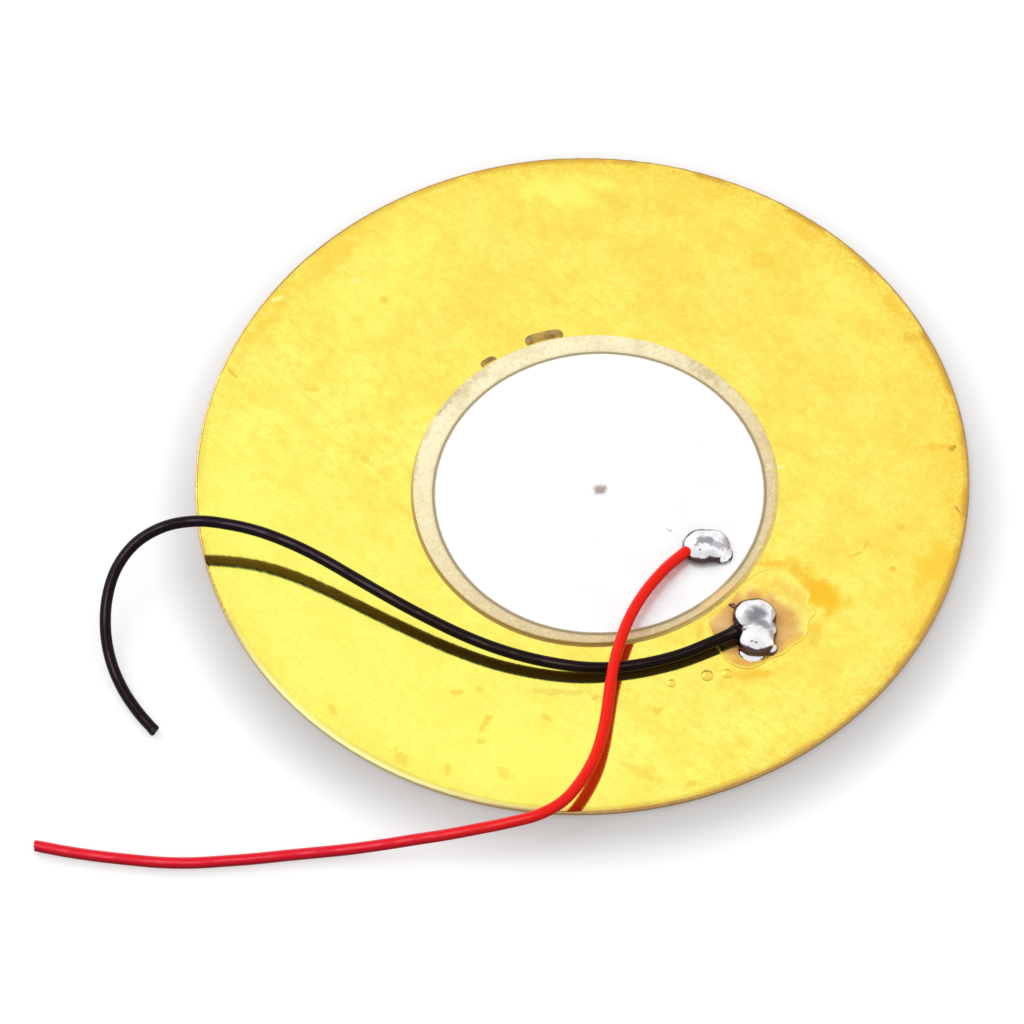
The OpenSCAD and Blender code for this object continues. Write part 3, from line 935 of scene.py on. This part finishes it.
def sleeve_finish(name, length, near, far, back_highlight):
    """Drawn plastic sleeve with painted light: lighter along its top and darker below, with faint
    lines, a broken painted highlight along it and a painted pale reflection along its back edge.

    near and far are the painted colours of its lit side, its shaded side, its underside and its
    highlight, by the joint and by the cut end.
    """
    f = Finish(name, Specular_IOR_Level=0.08, Roughness=0.3)
    around = f.node("UVMap", uv_map="UVMap").outputs[0]
    turn, along, _ = f.apart(around)
    away = f.rising(along, 0.3, 0.65)
    lit, shaded, under, highlight = (f.mix(away, first, last) for first, last in zip(near, far))
    turn = f.math("MULTIPLY", turn, 2 * math.pi)
    ring = [f.math(wave, turn) for wave in ("COSINE", "SINE")]
    run = f.math("MULTIPLY", along, length / MM)
    skin = f.node("CombineXYZ", {0: ring[0], 1: ring[1], 2: run}).outputs[0]
    drawn = f.node(
        "CombineXYZ",
        {0: f.math("MULTIPLY", ring[0], 4.0), 1: f.math("MULTIPLY", ring[1], 4.0),
         2: f.math("MULTIPLY", run, 0.5)},
    ).outputs[0]
    lines = f.cloud(drawn, 1.0, 3.0)
    patch = f.group(MOTTLE, Place=skin, Size=1.4, Low=0.4, High=0.62)
    normal = f.node("NewGeometry").outputs["Normal"]
    _, back, up = f.apart(normal)
    uneven = f.math("MULTIPLY_ADD", lines, 0.2, up)
    # Painted light and shade: lit along the top, shaded below, and a painted colour for the underside
    # that shows in the brass
    colour = f.mix(f.rising(uneven, 0.25, 1.0), shaded, lit)
    colour = f.mix(f.rising(up, -0.7, -0.45, 1.0, 0.0), colour, under)
    # Painted highlight, broken along the lead
    facing = f.math("MULTIPLY_ADD", lines, 0.03, f.vector("DOT_PRODUCT", normal, HIGHLIGHT_SIDE, out=1))
    highlight_mask = f.rising(facing, 0.97, 1.005)
    broken = f.rising(patch["Patches"], 0.0, 1.0, 0.35, 1.0)
    colour = f.mix(f.math("MULTIPLY", highlight_mask, broken), colour, highlight)
    # Painted pale reflection along the back edge
    colour = f.mix(f.rising(back, 0.2, 0.7, 0.0, 0.8), colour, back_highlight)
    f.set(Base_Color=colour)
    f.bump(lines, 0.012, 0.5)
    return f.material


CLOUDY_CENTRE_MM = (10.8, -11.7, 0)
CLOUDY_MARKS = [
    (12.9, -10.9, 0.9, 1.5, 10, 0.3, 0.8, srgb(226, 170, 82)),
    (8.7, -11.6, 0.8, 1.1, -20, 0.4, 0.4, srgb(240, 204, 150)),
    (7.9, -11.4, 0.4, 1.2, -10, 0.3, 0.8, srgb(250, 190, 80)),
]
FLUX_MARKS = [
    (10.1, -14.3, 1.9, 0.6, 5, 0.3, 0.9, srgb(230, 170, 86)),
    (13.0, -13.0, 1.5, 0.5, 38, 0.3, 0.8, srgb(247, 204, 80)),
    (13.7, -9.9, 0.9, 1.2, 10, 0.4, 0.7, srgb(250, 208, 90)),
    # painted shade under the black lead
    (9.0, -13.05, 1.6, 0.4, 22, 0.1, 0.95, srgb(48, 28, 16)),
]


def flux_finish():
    """Flux that has flowed out and set: cloudy and pinkish by the joint, yellow further out."""
    f = Finish("set flux", Roughness=0.2)
    place = f.place()
    patch = f.group(MOTTLE, Place=place, Size=1.1, Low=0.4, High=0.64)
    cloudy = f.group(
        MARK, Place=place, Centre=CLOUDY_CENTRE_MM, Half_Length=3.5, Half_Width=3.1, Turn=0.0,
        Ragged=0.12, Softness=0.4, Noise_Scale=1.2,
    )["Mask"]
    inner = f.mix(patch["Patches"], srgb(242, 190, 110), srgb(232, 168, 88))
    inner = marks(f, place, inner, CLOUDY_MARKS)
    outer = f.mix(patch["Patches"], srgb(255, 240, 114), srgb(252, 214, 92))
    waves = f.rising(f.cloud(place, 0.9, 2.0), 0.5, 0.66, 0.0, 0.6)
    outer = f.mix(waves, outer, srgb(255, 250, 140))
    colour = f.mix(cloudy, outer, inner)
    colour = marks(f, place, colour, FLUX_MARKS)
    f.set(Base_Color=colour, Metallic=f.rising(cloudy, 0.2, 0.9, 0.95, 0.1))
    f.bump(patch["Fine"], 0.03, 0.7)
    return f.material


def resin_finish(name, clear, dark, steep_from=0.75, mirror=0.0):
    """Amber flux, painted pale where it is level, for the brass seen through it, and dark where its
    side is steep.
    """
    f = Finish(name, Roughness=0.15, Metallic=mirror)
    patch = f.group(MOTTLE, Place=f.place(), Size=0.4, Low=0.4, High=0.62)
    facing = f.apart(f.node("NewGeometry").outputs["Normal"])[2]
    facing = f.math("MULTIPLY_ADD", patch["Fine"], 0.2, facing)
    f.set(Base_Color=f.mix(f.rising(facing, steep_from, 1.1, 1.0, 0.0), clear, dark))
    f.bump(patch["Fine"], 0.01, 0.4)
    return f.material


def clothe(piece, material):
    """Gives a piece its finish, in its first slot or in a new one."""
    if piece.material_slots:
        piece.material_slots[0].material = material
    else:
        piece.data.materials.append(material)


# ---------------------------------------------------------------- solder and flux

SOLDER_GRAIN_MM = 0.04
SOLDER_DENTS_MM = 1.3
RED_DENT_DEPTH_MM = 0.12
BLACK_DENT_DEPTH_MM = 0.14
# Height of a dome's widest level, as a part of the dome's height
BULGE = 0.3
LOW_BULGE = 0.1
# A low dome is no taller than this
LOW_DOME_MM = 0.5

# Domes of a joint: x, y, width and height. They are placed from the middle of a dome as wide as the
# first that touches the left and back sides of the CAD joint's box.
RED_DOMES_MM = [(0.08, -0.4, 2.5, 0.9), (0.7, -0.38, 2.4, 0.9), (1.4, -0.95, 1.35, 0.5)]
BLACK_DOMES_MM = [
    (0, -0.25, 2.55, 1.15), (0.28, -0.25, 2.55, 1.2), (0.45, -1.2, 2.25, 0.9),
    (0.2, -1.85, 2.45, 1.05), (1.0, -2.4, 1.1, 0.4), (-0.05, -2.5, 1.8, 0.25),
]


def solder_joint(name, node, domes_mm, dent_depth_mm):
    """Domes of solder run together, with bulging sides and a flat base, in a CAD joint's place."""
    low, high = (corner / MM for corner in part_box(node))
    first_r = domes_mm[0][2] / 2
    x0, y0, base = low.x + first_r, high.y - first_r, low.z
    parts = []
    for x, y, wide, tall in domes_mm:
        bulge = (BULGE if tall > LOW_DOME_MM else LOW_BULGE) * tall
        parts.append(ball((x0 + x, y0 + y, base + bulge), (wide / 2, wide / 2, tall - bulge)))
    joint = joined(name, parts)
    modify(joint, "REMESH", mode="VOXEL", voxel_size=SOLDER_GRAIN_MM * MM)
    modify(joint, "SMOOTH", factor=0.5, iterations=8)
    dented(joint, SOLDER_DENTS_MM, dent_depth_mm)
    flat_base(joint, base * MM)
    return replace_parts(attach(joint, "root"), node)


FILM_THICK_MM = 0.03
RIDGE_R_MM = 0.09
RIDGE_FLATNESS = 0.25
FLUX_OUTLINE_MM = [
    (9.9, -8.7), (10.7, -8.05), (11.5, -7.6), (12.4, -7.45), (13.0, -7.65), (13.5, -8.2),
    (13.9, -8.8), (14.3, -9.3), (14.2, -10.1), (14.6, -10.65), (14.2, -11.3), (13.9, -12.5),
    (13.1, -13.1), (12.5, -13.7), (11.7, -14.0), (11.1, -14.4), (10.2, -14.7), (9.4, -14.45),
    (8.8, -13.9), (8.4, -13.2), (8.0, -12.1), (7.8, -11.1), (8.1, -10.8), (8.9, -10.1),
    (9.4, -9.5),
]


def flux_outline(name, filled):
    """The flux's outline as a closed curve: filled as a film, or else a flattened ridge along it."""
    curve = bpy.data.curves.new(name, "CURVE")
    curve.dimensions = "2D" if filled else "3D"
    edge = curve.splines.new("BEZIER")
    edge.bezier_points.add(len(FLUX_OUTLINE_MM) - 1)
    edge.use_cyclic_u = True
    for point, (x, y) in zip(edge.bezier_points, FLUX_OUTLINE_MM):
        point.co = (x * MM, y * MM, 0)
        point.handle_left_type = point.handle_right_type = "AUTO"
    edge.resolution_u = 8
    if filled:
        curve.fill_mode = "BOTH"
        curve.extrude = FILM_THICK_MM / 2 * MM
    else:
        curve.bevel_depth = RIDGE_R_MM * MM
        curve.bevel_resolution = 4
    piece = bpy.data.objects.new(name, curve)
    bpy.context.collection.objects.link(piece)
    piece.location.z = FLUX_BASE + FILM_THICK_MM / 2 * MM
    if not filled:
        piece.scale.z = RIDGE_FLATNESS
    clear_selection()
    pick(piece)
    bpy.ops.object.convert(target="MESH")
    piece = joined(name, [bpy.context.view_layer.objects.active])
    bpy.ops.object.mode_set(mode="EDIT")
    close_up(SAME_EDGE_POINT)
    shade_soft(piece, FLUX_SOFT_UP_TO)
    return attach(piece, "root")


DROP_RADII_MM = (0.5, 0.5, 0.3)
DROP_SEGMENTS = 32
# Drops of flux: x, y and how far the middle of each is sunk below its flat base
DROPS_MM = [(7.6, -15.2, 0.18), (8.9, -15.1, 0.23), (5.35, -15.7, 0.25)]


def flux_drops():
    """Beads of flux that spat out and set on the brass."""
    beads = [
        ball((x, y, FLUX_BASE / MM - sunk), DROP_RADII_MM, DROP_SEGMENTS)
        for x, y, sunk in DROPS_MM
    ]
    drops = joined("flux_drops", beads)
    flat_base(drops, FLUX_BASE)
    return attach(drops, "root")


FLECK_UP_MM = 0.06
FLECK_SEGMENTS = 20
FLECK_GRAIN_MM = 0.025
FLECK_DENTS_MM = 0.15
FLECK_DENT_DEPTH_MM = 0.06
# The fleck's two lumps: x, y and radii
FLECK_LUMPS_MM = [(9.35, -10.05, (0.22, 0.13, 0.12)), (9.55, -10.2, (0.2, 0.12, 0.1))]


def burnt_fleck():
    """A fleck of burnt flux that sticks out beside the black joint."""
    height = FLUX_BASE / MM + FLECK_UP_MM
    fleck = joined("burnt_flux", [
        ball((x, y, height), radii, FLECK_SEGMENTS) for x, y, radii in FLECK_LUMPS_MM
    ])
    modify(fleck, "REMESH", mode="VOXEL", voxel_size=FLECK_GRAIN_MM * MM)
    dented(fleck, FLECK_DENTS_MM, FLECK_DENT_DEPTH_MM)
    shade_soft(fleck, FLUX_SOFT_UP_TO)
    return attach(fleck, "root")


# ---------------------------------------------------------------- light and floor

TENT_LIGHT = 0.86
HOOD_GREY = (0.25, 0.25, 0.28, 1)
HOOD_STRENGTH = 0.2
# The hood hangs where the camera is: cosines of the angles at which it begins and is at its full
HOOD_FROM = 0.72
HOOD_FULL = 0.9


def surround():
    """White all round, as in a light tent, with a greyer hood over the front for metal to show."""
    world = bpy.data.worlds.new("light tent")
    bpy.context.scene.world = world
    world.use_nodes = True
    world.node_tree.nodes.clear()
    w = Wiring(world.node_tree)
    direction = w.node("TexCoord").outputs["Generated"]
    toward = w.vector("DOT_PRODUCT", direction, Vector(CAMERA_PLACE).normalized(), out=1)
    hood = w.rising(toward, HOOD_FROM, HOOD_FULL, 0.0, HOOD_STRENGTH)
    tent = w.mix(hood, WHITE, HOOD_GREY)
    path = w.node("LightPath").outputs
    tent = w.mix(path["Is Camera Ray"], tent, WHITE)
    plain = w.node("Background", {"Color": WHITE, "Strength": TENT_LIGHT}).outputs[0]
    seen = w.node("Background", {"Color": tent, "Strength": 1.0}).outputs[0]
    looked = w.math("MAXIMUM", path["Is Camera Ray"], path["Is Glossy Ray"])
    looked = w.math("MAXIMUM", looked, path["Is Transmission Ray"])
    mixed = w.node("MixShader", {0: looked, 1: plain, 2: seen}).outputs[0]
    w.node("OutputWorld", {0: mixed})


def soft_lamp(name, place, size, power):
    """A square soft lamp aimed at the disc."""
    aim = (-Vector(place)).to_track_quat("-Z", "Y").to_euler()
    bpy.ops.object.light_add(type="AREA", location=place, rotation=aim)
    lamp = bpy.context.object
    lamp.name = name
    lamp.data.size = size
    lamp.data.energy = power


TABLE_WHITE = (0.56, 0.56, 0.56, 1)
TABLE_GLOW = 0.5
# The shade round the disc, at its back and at its front: how deep it is and how far it reaches
BACK_SHADE = 0.12
FRONT_SHADE = 0.46
BACK_REACH_MM = 1.8
REACH_GAIN_MM = 3.5
# Powers that make the shade a little warm
GREEN_POWER = 1.05
BLUE_POWER = 1.08


def floor_finish():
    """White table that greys softly where the disc keeps the light off it."""
    f = Finish("white table", Roughness=0.9, Specular_IOR_Level=0.0)
    place = f.place()
    ring = f.group(
        RING, Place=place, Centre=(0, 0, 0), Radius=PLATE_R_MM, Line_Width=0.1, Ragged=0.0
    )
    y = f.apart(place)[1]
    front = f.math("MULTIPLY_ADD", y, -0.5 / PLATE_R_MM, 0.5)
    front = f.math("MINIMUM", f.math("MAXIMUM", front, 0.0), 1.0)
    depth = f.rising(front, 0.0, 1.0, BACK_SHADE, FRONT_SHADE)
    reach = f.math("MULTIPLY_ADD", front, REACH_GAIN_MM, BACK_REACH_MM)
    fade = f.rising(ring["Outside"], -0.3, reach, 1.0, 0.0)
    shade = f.math("SUBTRACT", 1.0, f.math("MULTIPLY", depth, fade))
    green = f.math("POWER", shade, GREEN_POWER)
    blue = f.math("POWER", shade, BLUE_POWER)
    tint = f.node("CombineColor", {0: shade, 1: green, 2: blue}).outputs[0]
    path = f.node("LightPath").outputs
    seen = f.math("MAXIMUM", path["Is Camera Ray"], path["Is Glossy Ray"])
    seen = f.math("MAXIMUM", seen, path["Is Transmission Ray"])
    glow = f.math("MULTIPLY", seen, TABLE_GLOW)
    f.set(
        Base_Color=f.mix(1.0, TABLE_WHITE, tint, "MULTIPLY"),
        Emission_Color=tint, Emission_Strength=glow,
    )
    return f.material


TABLE_SIZE = 4
# The table lies a hair below the plate, so that no two of their faces lie in one plane
TABLE_DROP = 0.00001


def lay_floor():
    """A plain white table top."""
    bpy.ops.mesh.primitive_plane_add(size=TABLE_SIZE, location=(0, 0, -TABLE_DROP))
    floor = bpy.context.object
    bpy.ops.object.transform_apply(location=True, rotation=True, scale=True)
    floor.name = "floor"
    floor.data.materials.append(floor_finish())


# ---------------------------------------------------------------- the disc

set_camera()
clear_selection()

red_line = smooth_line(full_route(RED_START_MM, RED_STEP_MM, RED_ROUTE_MM))
black_line = smooth_line(full_route(BLACK_START_MM, BLACK_STEP_MM, BLACK_ROUTE_MM))

red_lead = lead_tube("red_sleeve", red_line, RED_LIP_MM, RED_CUT_MM)
black_lead = lead_tube("black_sleeve", black_line, BLACK_LIP_MM, BLACK_CUT_MM)
red_strands = strand_bundle("red_strands", red_line, RED_STAND_OUT_MM)
black_strands = strand_bundle("black_strands", black_line, BLACK_STAND_OUT_MM)

for lead, strands, line, node, length in (
    (red_lead, red_strands, red_line, "red_lead", RED_LENGTH),
    (black_lead, black_strands, black_line, "black_lead", BLACK_LENGTH),
):
    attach(strands, "root")
    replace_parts(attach(lead, "root"), node)

red_joint = solder_joint("red_solder", "red_solder_joint", RED_DOMES_MM, RED_DENT_DEPTH_MM)
black_joint = solder_joint(
    "black_solder", "black_solder_joint", BLACK_DOMES_MM, BLACK_DENT_DEPTH_MM
)
flux_film = flux_outline("flux_film", filled=True)
flux_ridge = flux_outline("flux_ridge", filled=False)
drops = flux_drops()
fleck = burnt_fleck()

solder = solder_finish()
strand = strand_finish()
clothe(NODES["brass_plate"], brass_finish())
clothe(NODES["ceramic_disc"], ceramic_finish())
clothe(NODES["upper_electrode"], silver_finish("printed silver"))
clothe(NODES["lower_electrode"], silver_finish("printed silver below"))
clothe(NODES["adhesive"], adhesive_finish())
clothe(NODES["red_lead_core"], strand)
clothe(NODES["black_lead_core"], strand)
clothe(red_joint, solder)
clothe(black_joint, solder)
clothe(red_strands, strand)
clothe(black_strands, strand)
# Painted lit, shaded, underside and highlight colours of each sleeve, by the joint and by the cut end
red_plastic = sleeve_finish(
    "red sleeve", RED_LENGTH,
    near=(srgb(247, 34, 18), srgb(200, 16, 8), srgb(200, 8, 4), srgb(255, 72, 62)),
    far=(srgb(230, 24, 46), srgb(150, 4, 24), srgb(180, 10, 20), srgb(250, 78, 92)),
    back_highlight=srgb(222, 92, 102),
)
black_plastic = sleeve_finish(
    "black sleeve", BLACK_LENGTH,
    near=(srgb(20, 4, 8), srgb(6, 0, 1), srgb(44, 5, 2), srgb(76, 62, 56)),
    far=(srgb(24, 10, 20), srgb(6, 0, 2), srgb(100, 72, 40), srgb(86, 74, 84)),
    back_highlight=srgb(58, 44, 42),
)
clothe(red_lead, red_plastic)
clothe(black_lead, black_plastic)
clothe(flux_film, flux_finish())
ridge = resin_finish("flux ridge", srgb(252, 224, 94), srgb(246, 204, 78), mirror=0.8)
amber = resin_finish(
    "flux drops", srgb(255, 220, 88), srgb(236, 168, 56), steep_from=0.6, mirror=0.6
)
clothe(flux_ridge, ridge)
clothe(drops, amber)
clothe(fleck, resin_finish("burnt flux", srgb(150, 96, 66), srgb(88, 50, 40)))

surround()
soft_lamp("back left lamp", place=(-0.28, 0.3, 0.33), size=0.3, power=0.75)
clear_selection()
lay_floor()
bpy.context.scene.view_settings.view_transform = "Standard"
